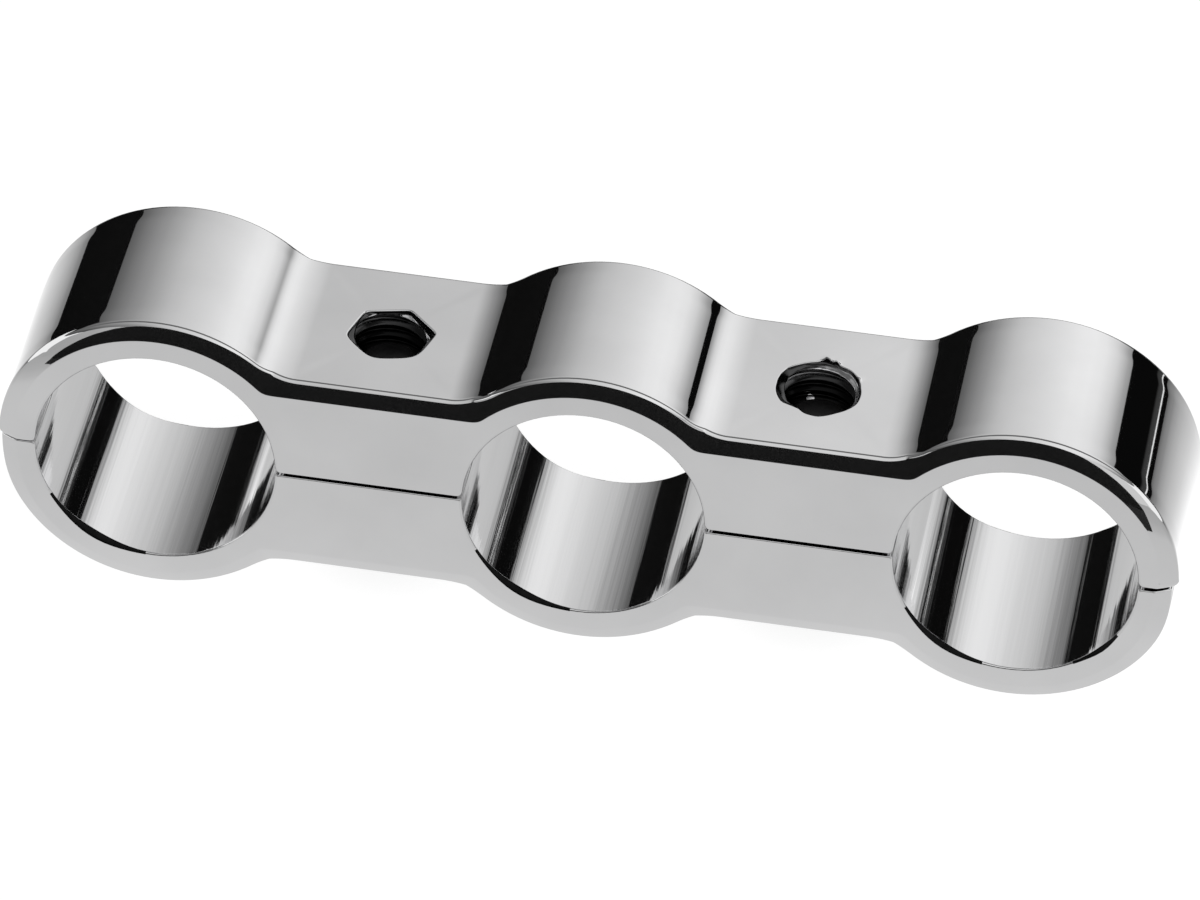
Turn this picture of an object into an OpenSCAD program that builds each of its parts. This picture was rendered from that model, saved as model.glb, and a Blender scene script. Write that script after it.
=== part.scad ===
// Split clamp bar that holds three hoses side by side.
// X runs along the bar, Y along the hoses, Z up. The origin is the centre of the middle bore.

/* [Hoses] */
// Distance between neighbouring hose centres
hose_pitch = 25.4; // [24:0.1:36]
// Diameter of each hose bore
bore_d = 14.3; // [12:0.1:15.2]

/* [Bar] */
// Depth of the bar, measured along the hoses
bar_depth = 12.7; // [11:0.1:20]
// Wall between a bore and the outside of its ring
ring_wall = 2.35; // [1.8:0.05:3.6]
// Height of the webs above and below the parting plane
web_rise = 6.7; // [6.2:0.1:8]
// Radius of the hollow where a web runs into a ring
hollow_r = 4; // [2:0.1:4.5]
// Width of the bevel on the end faces
bevel_face = 1; // [0.4:0.05:1.4]
// Run of the bevel along the hoses
bevel_run = 0.5; // [0.3:0.05:1]
// Edge break round the mouths of the bores
bore_break = 0.1; // [0.05:0.01:0.3]
// Edge break along the parting line
parting_break = 0.1; // [0.05:0.01:0.2]

/* [Screws] */
// Outer diameter of the screw thread
thread_d = 4.83; // [4.2:0.01:5]
// Core diameter of the tapped holes
tap_core_d = 4.1; // [3.4:0.01:4.4]
// Play on each side between a screw's core and its tapped hole
thread_play = 0.05; // [0.02:0.01:0.1]
// Play on each side of the thread in the lower half
shank_play = 0.15; // [0.05:0.01:0.3]
// Length of a screw under its head
screw_len = 6.35; // [5.5:0.05:7.5]
// Chamfer at the tip of a screw
tip_chamfer = 0.4; // [0.1:0.05:0.8]
// Diameter of a screw head
head_d = 7.92; // [7:0.02:8.2]
// Height of a screw head
head_h = 4.83; // [3:0.01:4.9]
// Chamfer round the outer edge of a screw head
head_chamfer = 0.35; // [0.1:0.05:0.6]
// Play on each side of a screw head in its pocket
head_play = 0.14; // [0.05:0.01:0.2]
// Depth of a screw head below the underside of the web
head_sink = 0.1; // [0:0.05:0.4]
// Width across the flats of the hexagon socket
socket_af = 3.97; // [2.5:0.01:4.5]
// Depth of the hexagon socket
socket_depth = 2.4; // [1.5:0.1:2.8]

/* [Hole mouths] */
// Width over the corners of the six-sided relief at the left hole
left_relief_d = 5.3; // [4.9:0.05:6]
// Depth of the six-sided relief
left_relief_depth = 0.6; // [0.2:0.05:1.2]
// Turn of the six-sided relief, counterclockwise seen from above
left_relief_turn = 12; // [0:1:30]
// Diameter of the worn round relief at the right hole
right_relief_d = 5.3; // [4.9:0.05:6]
// Width across the two flats of the worn relief
right_relief_flats = 4.9; // [4.6:0.05:5.4]
// Depth of the worn relief
right_relief_depth = 0.5; // [0.2:0.05:1.2]

/* [Hidden] */
// Facets of a round shape, where it is shown as a mesh
$fn = 96;

// Overlap that carries a cut cleanly past a face
past = 1;
ring_r = bore_d / 2 + ring_wall;
half_depth = bar_depth / 2;
bar_len = 2 * (hose_pitch + ring_r);

// A hollow's arc runs this far into its ring, because arcs that only touch leave a sliver
hollow_bite = 0.001;
// The hollow's circle meets its ring and touches the flat of the web, which places its centre
hollow_reach = ring_r - hollow_bite + hollow_r;
hollow_z = web_rise + hollow_r;
hollow_x = sqrt(pow(hollow_reach, 2) - pow(hollow_z, 2));
ring_share = 1 - hollow_r / hollow_reach;

// A hollow stands out from the corner that it fills by less than this share of its radius
hollow_share = 0.25;
// The bevel's cones and planes are carried on past the outline, to cut the hollows too
bevel_grow = bevel_face + hollow_share * hollow_r;
bevel_reach = bevel_grow * bevel_run / bevel_face;

// Side of the square bar whose corner cuts the groove along the parting line
groove_side = parting_break * sqrt(2);

screw_x = hose_pitch / 2;
screw_core_d = tap_core_d - 2 * thread_play;
head_top_z = -web_rise + head_sink + head_h;
pocket_d = head_d + 2 * head_play;
clearance_d = thread_d + 2 * shank_play;
// Across the corners of a hexagon, from its width across the flats
socket_d = socket_af / cos(30);

// Places a shape drawn in X and Z as an X and Z section, run along the hoses
module along_hoses(length)
    rotate([90, 0, 0])
        linear_extrude(height = length, center = true)
            children();

// Turns a profile drawn in radius and Y about the axis of a hose
module round_hose()
    rotate([90, 0, 0])
        rotate_extrude()
            children();

module at_each_hose()
    for (step = [-1 : 1])
        translate([step * hose_pitch, 0, 0])
            children();

// One hollow: the wedge under the arc that runs from the ring to the web
module hollow()
    difference() {
        polygon([
            [0, 0],
            [hollow_x, 0],
            [hollow_x, web_rise],
            [hollow_x * ring_share, hollow_z * ring_share]
        ]);
        translate([hollow_x, hollow_z])
            circle(r = hollow_r);
    }

// Section across the hoses, with a hollow at each corner, turned there by its signs
module bar_outline() {
    square([2 * hose_pitch, 2 * web_rise], center = true);
    for (step = [-1 : 1])
        translate([step * hose_pitch, 0])
            circle(r = ring_r);
    for (web = [-1, 1], side = [-1, 1], rise = [-1, 1])
        translate([web * screw_x - side * screw_x, 0])
            scale([side, rise])
                hollow();
}

// Half section of a bevelled slab: the distance out from the middle against the depth
function bevel_section(reach) = [
    [0, -half_depth],
    [reach - bevel_face, -half_depth],
    [reach - bevel_face + bevel_grow, -half_depth + bevel_reach],
    [reach - bevel_face + bevel_grow, half_depth - bevel_reach],
    [reach - bevel_face, half_depth],
    [0, half_depth]
];

// The space inside the bevels: a cone at each end of a ring, and planes along the webs
module bevel_envelope() {
    at_each_hose()
        round_hose()
            polygon(bevel_section(ring_r));
    for (rise = [0, 1])
        mirror([0, 0, rise])
            rotate([0, -90, 0])
                linear_extrude(height = 2 * hose_pitch, center = true)
                    polygon(bevel_section(web_rise));
}

module bores()
    at_each_hose() {
        along_hoses(bar_depth + 2 * past)
            circle(d = bore_d);
        for (end = [0, 1])
            mirror([0, end, 0])
                round_hose()
                    polygon([
                        [0, half_depth - bore_break],
                        [bore_d / 2, half_depth - bore_break],
                        [bore_d / 2 + bore_break + past, half_depth + past],
                        [0, half_depth + past]
                    ]);
    }

// Small groove along the parting line, on both end faces and both ends of the bar
module parting_groove() {
    for (end = [-1, 1]) {
        translate([0, end * half_depth, 0])
            rotate([45, 0, 0])
                cube([bar_len + 2 * past, groove_side, groove_side], center = true);
        translate([end * bar_len / 2, 0, 0])
            rotate([0, 45, 0])
                cube([groove_side, bar_depth + 2 * past, groove_side], center = true);
    }
}

// The whole bar in one piece, before it is parted
module whole_bar()
    difference() {
        intersection() {
            along_hoses(bar_depth + 2 * past)
                bar_outline();
            bevel_envelope();
        }
        bores();
        parting_groove();
    }

// Space above the parting plane
module above_parting()
    translate([-bar_len / 2 - past, -half_depth - past, 0])
        cube([bar_len + 2 * past, bar_depth + 2 * past, ring_r + past]);

module tapped_hole()
    translate([0, 0, -past])
        cylinder(d = tap_core_d, h = web_rise + 2 * past);

module six_sided_relief()
    translate([0, 0, web_rise - left_relief_depth])
        rotate([0, 0, left_relief_turn])
            cylinder(d = left_relief_d, h = left_relief_depth + past, $fn = 6);

module worn_relief()
    translate([0, 0, web_rise - right_relief_depth])
        intersection() {
            cylinder(d = right_relief_d, h = right_relief_depth + past);
            translate([-right_relief_flats / 2, -right_relief_d / 2, 0])
                cube([right_relief_flats, right_relief_d, right_relief_depth + past]);
        }

// Pocket for a screw head, with the clearance hole that leads up from it
module screw_seat() {
    translate([0, 0, -web_rise - past])
        cylinder(d = pocket_d, h = head_top_z + web_rise + past);
    translate([0, 0, head_top_z - past])
        cylinder(d = clearance_d, h = past - head_top_z + past);
}

module upper_half()
    color("gainsboro")
        difference() {
            intersection() {
                whole_bar();
                above_parting();
            }
            translate([-screw_x, 0, 0]) {
                tapped_hole();
                six_sided_relief();
            }
            translate([screw_x, 0, 0]) {
                tapped_hole();
                worn_relief();
            }
        }

module lower_half()
    color("gainsboro")
        difference() {
            intersection() {
                whole_bar();
                mirror([0, 0, 1])
                    above_parting();
            }
            for (side = [-1, 1])
                translate([side * screw_x, 0, 0])
                    screw_seat();
        }

// Socket screw, head down, with its thread drawn as the core cylinder
module screw()
    difference() {
        translate([0, 0, head_top_z - head_h])
            rotate_extrude()
                polygon([
                    [0, 0],
                    [head_d / 2 - head_chamfer, 0],
                    [head_d / 2, head_chamfer],
                    [head_d / 2, head_h],
                    [screw_core_d / 2, head_h],
                    [screw_core_d / 2, head_h + screw_len - tip_chamfer],
                    [screw_core_d / 2 - tip_chamfer, head_h + screw_len],
                    [0, head_h + screw_len]
                ]);
        translate([0, 0, head_top_z - head_h - past])
            cylinder(d = socket_d, h = socket_depth + past, $fn = 6);
    }

module left_screw()
    color("dimgray")
        translate([-screw_x, 0, 0])
            screw();

module right_screw()
    color("dimgray")
        translate([screw_x, 0, 0])
            screw();

upper_half();
lower_half();
left_screw();
right_screw();
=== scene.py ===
# %% [markdown]
# # A split clamp bar for three hoses, in mirror chrome
#
# The real object is a short bar, sawn in two along its length, that holds three hoses side by side.
# Two socket screws come up from below and draw the halves together. Everything on it is plated and
# polished, so the picture is made of reflections: the shapes have to be right first, because a mirror
# shows every edge, and the studio has to be right second, because it is what the mirror shows.
#
# The lesson goes in that order: the frame, the camera, the shapes of a half, the finishes, the two
# halves, the screws, the studio. All lengths in the cells are millimetres and turn into metres when a
# mesh is made.

import bmesh
import bpy
import numpy as np
from mathutils import Matrix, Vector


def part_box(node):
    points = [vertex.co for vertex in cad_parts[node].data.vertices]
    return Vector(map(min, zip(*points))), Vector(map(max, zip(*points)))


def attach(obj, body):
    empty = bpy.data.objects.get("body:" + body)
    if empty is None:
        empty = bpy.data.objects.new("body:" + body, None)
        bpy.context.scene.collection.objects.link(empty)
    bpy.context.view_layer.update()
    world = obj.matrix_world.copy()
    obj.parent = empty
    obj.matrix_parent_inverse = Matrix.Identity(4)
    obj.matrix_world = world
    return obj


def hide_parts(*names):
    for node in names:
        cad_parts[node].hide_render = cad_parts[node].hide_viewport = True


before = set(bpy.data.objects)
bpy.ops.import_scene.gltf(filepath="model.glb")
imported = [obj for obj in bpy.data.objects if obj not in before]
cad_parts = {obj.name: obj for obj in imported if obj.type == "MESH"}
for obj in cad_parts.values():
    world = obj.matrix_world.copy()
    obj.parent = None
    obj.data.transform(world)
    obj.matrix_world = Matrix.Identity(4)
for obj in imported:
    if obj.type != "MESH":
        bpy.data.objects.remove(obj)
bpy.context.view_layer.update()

# %% [markdown]
# ## The camera
#
# The picture was taken from the front, a little from the right and from well above, with a long lens:
# the three rings are nearly the same size. The place and the lens below were found by fitting the
# edges of the bores, the bevel and the outline of the bar. Three directions say how the camera is
# turned: where it looks, and what is right and down in the picture. The lens follows from the width of
# the picture: so many times its own width is the distance at which the view is one width wide.

# %% The camera
MM = 0.001
PICTURE_WIDTH = 1200
SENSOR_WIDTH = 36.0
camera_place = np.array([57.268, -412.280, 320.919])
camera_right = np.array([0.985498, 0.165644, 0.036817])
camera_down = np.array([0.130025, -0.597757, -0.791063])
camera_ahead = np.array([-0.109027, 0.784378, -0.610626])
focal_in_pixels = 8949.3


def aim_camera():
    """A camera looks along its own -Z with +Y up, so the columns of its turn are right, up and back."""
    lens = bpy.data.cameras.new("photo_camera")
    lens.sensor_fit = "HORIZONTAL"
    lens.sensor_width = SENSOR_WIDTH
    lens.lens = focal_in_pixels / PICTURE_WIDTH * SENSOR_WIDTH
    lens.clip_start = 0.01
    camera = bpy.data.objects.new("photo_camera", lens)
    bpy.context.scene.collection.objects.link(camera)
    turn = Matrix(np.stack([camera_right, -camera_down, -camera_ahead], axis=1).tolist())
    camera.matrix_world = Matrix.Translation((camera_place * MM).tolist()) @ turn.to_4x4()
    bpy.context.scene.camera = camera
    return camera


camera = aim_camera()
print(f"lens {camera.data.lens:.1f} mm at {np.linalg.norm(camera_place):.0f} mm from the middle bore")

# %% [markdown]
# ## The sizes
#
# They repeat the sizes of the solids. What the solids can't carry is added here: the small roundings
# that polishing leaves on every edge. On a mirror each rounding shows as a thin bright or dark line,
# and a model without them looks cut out of paper.

# %% The sizes, and a check of them against the frame
pitch = 25.4
bore_r = 7.15
ring_r = 9.5
web_rise = 6.7
hollow_r = 4.0
half_depth = 6.35
bevel_face = 1.0
bevel_run = 0.5
screw_x = pitch / 2
bevel_slope = bevel_run / bevel_face

low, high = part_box("upper_half")
print("ends of the bar, measured and named:", round(high.x / MM, 2), pitch + ring_r)
print("top of the rings, measured and named:", round(high.z / MM, 2), ring_r)

# %% [markdown]
# ## The hollow between a ring and a web
#
# The outline of the bar is three circles joined by two straight webs, and the corner between a circle
# and a web is filled by an arc, as the ball of a cutter leaves it. The bevel on the end face is
# different: it was cut along the sharp outline, so its edge has a sharp corner there while the wall
# above it is hollow. A plain offset of the outline can't show that.
#
# So each point of the surface gets two numbers: the place along the outline, and the offset from the
# sharp outline, which grows inwards. In the half of the hollow that belongs to the ring, a constant
# offset is a circle about the bore. In the half that belongs to the web it is a straight line. Both
# halves meet on the line through the sharp corners, and there the fraction below is one.

# %% The two halves of a hollow
hollow_z = web_rise + hollow_r
hollow_x = np.sqrt((ring_r + hollow_r) ** 2 - hollow_z ** 2)
touch_angle = np.arctan2(hollow_z, hollow_x)
DENSE_POINTS = 2001
HOLLOW_STEPS = 12
TINY = 1e-9


def corner_angle(offset):
    """Angle of the sharp corner at an offset: the sine is the web's height over the ring's radius."""
    return np.arcsin((web_rise - offset) / (ring_r - offset))


def corner_x(offset):
    """Distance of the sharp corner from the ring's axis, by Pythagoras from the same two lengths."""
    return np.sqrt((ring_r - offset) ** 2 - (web_rise - offset) ** 2)


def hollow_columns(count):
    """Columns across a hollow, from the ring to the web.

    Points run along the arc. Each belongs to the ring or to the web, whichever offset is larger, and
    the fraction says how far it is from the touching point to the sharp corner at its own offset.
    Returns for each point: belongs to the ring, fraction, offset of the wall.
    """
    first, last = np.pi + touch_angle, 1.5 * np.pi
    dense = np.linspace(first, last, DENSE_POINTS)
    to_ring = ring_r - np.hypot(hollow_x + hollow_r * np.cos(dense), hollow_z + hollow_r * np.sin(dense))
    to_web = web_rise - (hollow_z + hollow_r * np.sin(dense))
    divide = dense[np.argmin(np.abs(to_ring - to_web))]
    t = np.linspace(0, 1, count + 1)
    steps = (1 - (1 - t) ** 1.5 + t ** 1.6) / 2
    angle = np.concatenate([first + (divide - first) * steps, last - (last - divide) * steps[-2::-1]])
    x, z = hollow_x + hollow_r * np.cos(angle), hollow_z + hollow_r * np.sin(angle)
    on_ring = angle <= divide
    offset = np.where(on_ring, ring_r - np.hypot(x, z), web_rise - z)
    by_angle = (np.arctan2(z, x) - touch_angle) / (corner_angle(offset) - touch_angle - TINY)
    by_x = (x - hollow_x) / (corner_x(offset) - hollow_x - TINY)
    fraction = np.clip(np.where(on_ring, by_angle, by_x), 0, 1)
    fraction[count] = 1.0
    return on_ring, fraction, np.minimum(offset, 0)


on_ring, fraction, wall_offset = hollow_columns(HOLLOW_STEPS)
print(f"a hollow starts at {np.degrees(touch_angle):.1f} degrees and is {-wall_offset.min():.2f} mm deep")

# %% [markdown]
# ## The outline as columns
#
# A half is one closed outline, carried from the front face to the back one. The outline is a list of
# columns: over the three rings and two webs from left to right, round the right end, and back along
# the parting line and the three half bores. Each column knows what kind of curve it is on. The columns
# of a web are as many above as below, because a hole will join them. They stand closer where a ring
# runs into a hollow: there the wall turns back, and a thin dark line in the picture hangs on it.
#
# The buffing wheel also softened the sharp corners of the bevel. That is done last, point by point.

# %% The outer columns
RING, CONE, PLANE, WEB = 0, 1, 2, 3
ARC_STEP = np.radians(3)
BESIDE_TOUCH = np.radians([0.25, 0.8, 1.6])
WEB_STEPS = 30
WALL_STEPS = 42
CORNER_PASSES = 10


def arc(start, end, step=ARC_STEP):
    """Angles from start to end, both kept, about a step apart."""
    return np.linspace(start, end, int(round(abs(end - start) / step)) + 1)


def outer_columns(end_lift):
    """The outline over the top, from left to right, as one array with a row for each column.

    A row holds: kind, centre of its ring, side of the ring, angle or x or fraction, wall offset.
    end_lift is the height above the parting plane at which the walls of the two ends stop.
    """
    rows = []
    end_angle = np.arcsin(end_lift / ring_r)
    across = np.linspace(hollow_x, pitch - hollow_x, WEB_STEPS + 1)
    for ring in (-1, 0, 1):
        centre = ring * pitch
        start = np.pi - end_angle if ring < 0 else np.pi - touch_angle
        end = end_angle if ring > 0 else touch_angle
        extra = [start - BESIDE_TOUCH] * (ring > -1) + [end + BESIDE_TOUCH] * (ring < 1)
        angles = np.sort(np.concatenate([arc(start, end)] + extra))[::-1]
        rows += [(RING, centre, 1, a, 0.0) for a in angles]
        if ring < 1:
            parts = list(zip(on_ring, fraction, wall_offset))
            hollow = [(CONE if r else PLANE, f, o) for r, f, o in parts]
            rows += [(kind, centre, 1, f, o) for kind, f, o in hollow[1:-1]]
            rows += [(WEB, centre, 1, x, 0.0) for x in across]
            rows += [(kind, centre + pitch, -1, f, o) for kind, f, o in hollow[-2:0:-1]]
    return np.array(rows)


def place_outer(columns, offset):
    """Points in X and Z at an offset from the sharp outline, one for each column.

    Ring and cone: radius less the offset, at the column's angle or at its share of the way to the
    sharp corner. Web and plane: height less the offset, at the column's x or its share of the way.
    """
    kind, centre, side, value, _ = columns.T
    radius, height = ring_r - offset, web_rise - offset
    angle = np.where(kind == RING, value, touch_angle + value * (corner_angle(offset) - touch_angle))
    x_flat = np.where(kind == WEB, value, hollow_x + value * (corner_x(offset) - hollow_x))
    round_part = kind <= CONE
    x = centre + side * np.where(round_part, radius * np.cos(angle), x_flat)
    z = np.where(round_part, radius * np.sin(angle), height)
    return x, z


def soften_corners(columns, x, z, share):
    """Round off the sharp corner of a hollow by letting each of its points drift to its neighbours.

    One pass puts a point a quarter of the way to either neighbour. Many passes spread the corner over
    a few columns. share is how much of that is wanted in each column: none on the wall.
    """
    in_hollow = (columns[:, 0] == CONE) | (columns[:, 0] == PLANE)
    soft_x, soft_z = x.copy(), z.copy()
    for _ in range(CORNER_PASSES):
        soft_x, soft_z = (np.where(in_hollow, (np.roll(v, 1) + 2 * v + np.roll(v, -1)) / 4, v)
                          for v in (soft_x, soft_z))
    return x + share * (soft_x - x), z + share * (soft_z - z)


print("columns over the top:", len(outer_columns(end_lift=0.4)))

# %% [markdown]
# ## The edge profiles
#
# Carried along the outline is a profile of the edge: flat end face, a small polished rounding, the
# bevel, a second rounding, and the wall. A rounding between two lines is drawn as a curve with the
# corner as its handle, which is close to an arc and needs only the corner and a length. Beside each
# rounding lies one more row, very close, so that the shading of the flat parts stays flat. The bevel is
# not quite flat: it bulges by a fiftieth of a millimetre, so its reflections taper off at the ends.
#
# Hand polishing also pulls the wall down a little before it reaches the edge. That is only a few
# hundredths of a millimetre, but it bends the reflected stripes over the last millimetre or two, and
# without it they would run out to the edge dead straight.

# %% The profiles, as offset and depth from the end face
CREASE_ROUND, CREASE_STEPS = 0.08, 4
WALL_ROUND, WALL_ROUND_STEPS = 0.22, 5
BEVEL_BULGE = 0.02
BEVEL_SHARES = np.array([0.04, 0.27, 0.5, 0.73, 0.96])[:, None]
MOUTH_ROUND = 0.12
MOUTH_ROWS = 5
FLATTEST = 0.85
BESIDE = 0.03
bevel_length = np.hypot(bevel_face, bevel_run)
bevel_in, bevel_back = bevel_face / bevel_length, bevel_run / bevel_length


def rounded(before, corner, after, count):
    """Curve from before to after with the corner as its handle: two blends, blended once more."""
    t = np.linspace(0, 1, count + 1)[:, None]
    before, corner, after = (np.array(p, float) for p in (before, corner, after))
    return (1 - t) ** 2 * before + 2 * t * (1 - t) * corner + t ** 2 * after


def outer_profile(offset):
    """Offset and depth of each row from the end face to the wall, for one column's wall offset."""
    crease = (bevel_face, 0.0)
    edge = (offset, (bevel_face - offset) * bevel_slope)
    wall = (offset, edge[1] + WALL_ROUND)
    down_bevel = np.array([-bevel_in, bevel_back])
    flat = (bevel_face + CREASE_ROUND, 0)
    first = rounded(flat, crease, crease + down_bevel * CREASE_ROUND, CREASE_STEPS)
    second = rounded(edge - down_bevel * WALL_ROUND, edge, wall, WALL_ROUND_STEPS)
    outwards = np.array([-bevel_back, -bevel_in])
    bulge = outwards * BEVEL_BULGE * 4 * BEVEL_SHARES * (1 - BEVEL_SHARES)
    middle = first[-1] + (second[0] - first[-1]) * BEVEL_SHARES + bulge
    return np.vstack([(flat[0] + BESIDE, 0), first, middle, second, (offset, wall[1] + BESIDE)])


def inner_profiles(rows, wall_depth, mouth):
    """The same for the bores: a quarter circle at the mouth, and then the wall, in as many rows.

    mouth is the size of the quarter circle in each column, and the larger it is, the more the curve
    is pulled flat, as a scraper leaves it. Returns offset and depth, row by column.
    """
    turn = np.linspace(0, np.pi / 2, MOUTH_ROWS)[:, None]
    share = np.linspace(0, 1, rows - MOUTH_ROWS - 1)[:, None]
    flat = np.clip((mouth - MOUTH_ROUND) / MOUTH_ROUND, 0, FLATTEST)
    down = (1 - flat) * np.sin(turn) + flat * turn / (np.pi / 2)
    back = (1 - flat) * (1 - np.cos(turn)) + flat * turn / (np.pi / 2)
    first = mouth + BESIDE
    offset = np.vstack([first, mouth * (1 - down), 0 * share * mouth])
    depth = np.vstack([0 * mouth, mouth * back, first + (wall_depth - first) * share])
    return offset, depth


SHOULDER_DROP = 0.03
SHOULDER_START = 1.9
SHOULDER_END = 0.5


def shoulder(depth):
    """Drop of the outer wall towards the end face: a smooth step between two depths."""
    t = np.clip((SHOULDER_START - depth) / (SHOULDER_START - SHOULDER_END), 0, 1)
    return SHOULDER_DROP * t * t * (3 - 2 * t)


plain_profile = outer_profile(0.0)
EDGE_ROWS = len(plain_profile)
wall_start = plain_profile[-1, 1]
print(f"{EDGE_ROWS} rows at each end face; the plain wall starts {wall_start:.2f} mm behind it")

# %% [markdown]
# ## The inner columns
#
# Below the outer wall the outline turns in at the end of the bar, runs along the parting plane to the
# bore, over the bore, along the parting plane of the web, and so on to the other end. The corners are
# rounded: more on the upper half, whose ends were buffed, and less on the lower. Where the parting
# plane comes out at an end face its edge is broken too.
#
# The halves don't touch everywhere. The seam is a hair at the left end and opens to the right, which
# makes it a black line on the webs. The lower edges of the bores were scraped by hand, more on the
# left of each: the picture shows dark crescents there.

# %% The inner columns, with their own points for every row
END, CORNER, PARTING, BORE, SEAT = 4, 5, 6, 7, 8
PARTING_BREAK = 0.06
END_CLEAR = 0.25
BORE_CLEAR = 0.2
BORE_STEP = np.radians(4)
QUARTER = np.linspace(0, np.pi / 2, 6)
PARTING_SHARES = (0.08, 0.36, 0.64, 0.92)
GAP_PLACES = (-35, -24, -18.5, 0, 18.5, 35)
HALF_GAPS = (0.03, 0.02, 0.105, 0.115, 0.115, 0.12)
# Each scrape: the ring it is on, how much it adds to the rounding, its middle and its width in degrees.
SCRAPES = ((-1, 0.22, 120, 17), (0, 0.20, 120, 17), (1, 0.16, 124, 16), (1, 0.12, 42, 9))


def broken_edge(depth):
    """Lift of the parting plane near an end face: a quarter circle that ends at the edge break."""
    near = np.clip(PARTING_BREAK - depth, 0, PARTING_BREAK)
    return PARTING_BREAK - np.sqrt(PARTING_BREAK ** 2 - near ** 2)


def half_gap(x):
    """Half of the seam's opening: from the left end it grows to the webs, and on to the right end."""
    return np.interp(x, GAP_PLACES, HALF_GAPS)


def bump_at(angle, middle, width):
    """A smooth bump round an angle, 1 in its middle."""
    away = np.mod(angle - np.radians(middle) + np.pi, 2 * np.pi) - np.pi
    return np.exp(-((away / np.radians(width)) ** 2))


def mouth_sizes(columns, scraped):
    """Size of the edge rounding at the bores' mouths. The scraped ones are wider over part of the arc.

    Angles count from the right over the far side of the half, so on the lower half they run downwards.
    """
    kind, centre, value = columns.T[[0, 1, 3]]
    size = np.full(len(columns), MOUTH_ROUND)
    if scraped:
        for ring, extra, middle, width in SCRAPES:
            here = (kind == BORE) & (np.sign(centre) == ring)
            size += here * extra * bump_at(value, middle, width)
    return size


def inner_columns(bore_round):
    """The outline from the right end back to the left, as rows of: kind, centre, side, value."""
    reach_out = bore_r + bore_round
    start = np.arcsin((bore_round + BORE_CLEAR) / bore_r)
    rows = [(END, pitch, 1, a) for a in QUARTER]
    rows += [(PARTING, pitch, 1, t) for t in PARTING_SHARES]
    for ring in (1, 0, -1):
        centre = ring * pitch
        rows += [(CORNER, centre, 1, a) for a in QUARTER]
        rows += [(BORE, centre, 1, a) for a in arc(start, np.pi - start, BORE_STEP)]
        rows += [(CORNER, centre, -1, a) for a in QUARTER[::-1]]
        if ring > -1:
            across = np.linspace(-reach_out, reach_out - pitch, WEB_STEPS + 1)
            rows += [(SEAT, centre, 1, x) for x in across[1:-1]]
    rows += [(PARTING, -pitch, -1, t) for t in PARTING_SHARES[::-1]]
    rows += [(END, -pitch, -1, a) for a in QUARTER[::-1]]
    return np.array(rows)


def place_inner(columns, end_round, bore_round, outer_row, inner_row, short, raised):
    """Points X, depth, Z of one row of the inner columns. short is a pair: left end, right end.

    outer_row and inner_row are the offset and depth of that row on the wall and in the bores. A bore
    point is on a circle of its radius plus the offset. A corner is a quarter circle. A point of the
    parting plane is a blend of the wall's and the bore's point. short takes the end back a little, and
    raised lifts the first row off the edge of the end face.
    """
    kind, centre, side, value = columns.T
    wall_x = ring_r - outer_row[0] - shoulder(outer_row[1]) - np.where(centre < 0, *short)
    bore_x = bore_r + inner_row[0]
    x = np.zeros(len(columns))
    z = np.zeros(len(columns))
    blend = np.where(kind == PARTING, value, np.where(kind == END, 0.0, 1.0))
    depth = outer_row[1] + (inner_row[1] - outer_row[1]) * blend
    lift = broken_edge(depth)
    end, corner, flat, bore, seat = (kind == k for k in (END, CORNER, PARTING, BORE, SEAT))
    x[end] = wall_x[end] - end_round * (1 - np.cos(value[end]))
    z[end] = end_round * (1 - np.sin(value[end]))
    x[corner] = bore_x[corner] + bore_round * (1 - np.sin(value[corner]))
    z[corner] = bore_round * (1 - np.cos(value[corner]))
    from_wall, to_bore = wall_x[flat] - end_round, bore_x[flat] + bore_round
    x[flat] = from_wall + (to_bore - from_wall) * value[flat]
    x[bore] = bore_x[bore] * np.cos(value[bore])
    z[bore] = bore_x[bore] * np.sin(value[bore])
    x[seat] = value[seat]
    x = centre + side * x
    return x, depth, z + np.where(bore, 0.0, lift + raised + half_gap(x))


print("edge break where the plane meets an end face:", broken_edge(np.array([0.0, 0.05, 0.1])).round(3))

# %% [markdown]
# ## A half as one grid
#
# Rows run from the front face to the back one, and the back is the front mirrored. Each row is a
# closed outline, so the grid is a tube. Its two ends are closed by a flat face each. The rectangles
# on the webs, above and below, stay open until the hole that joins them is made.

# %% The shell of a half
SOFT_FROM = 0.08
SHORT_REACH = 3.0
PAINTED_DARK_FROM = 0.135


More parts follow.
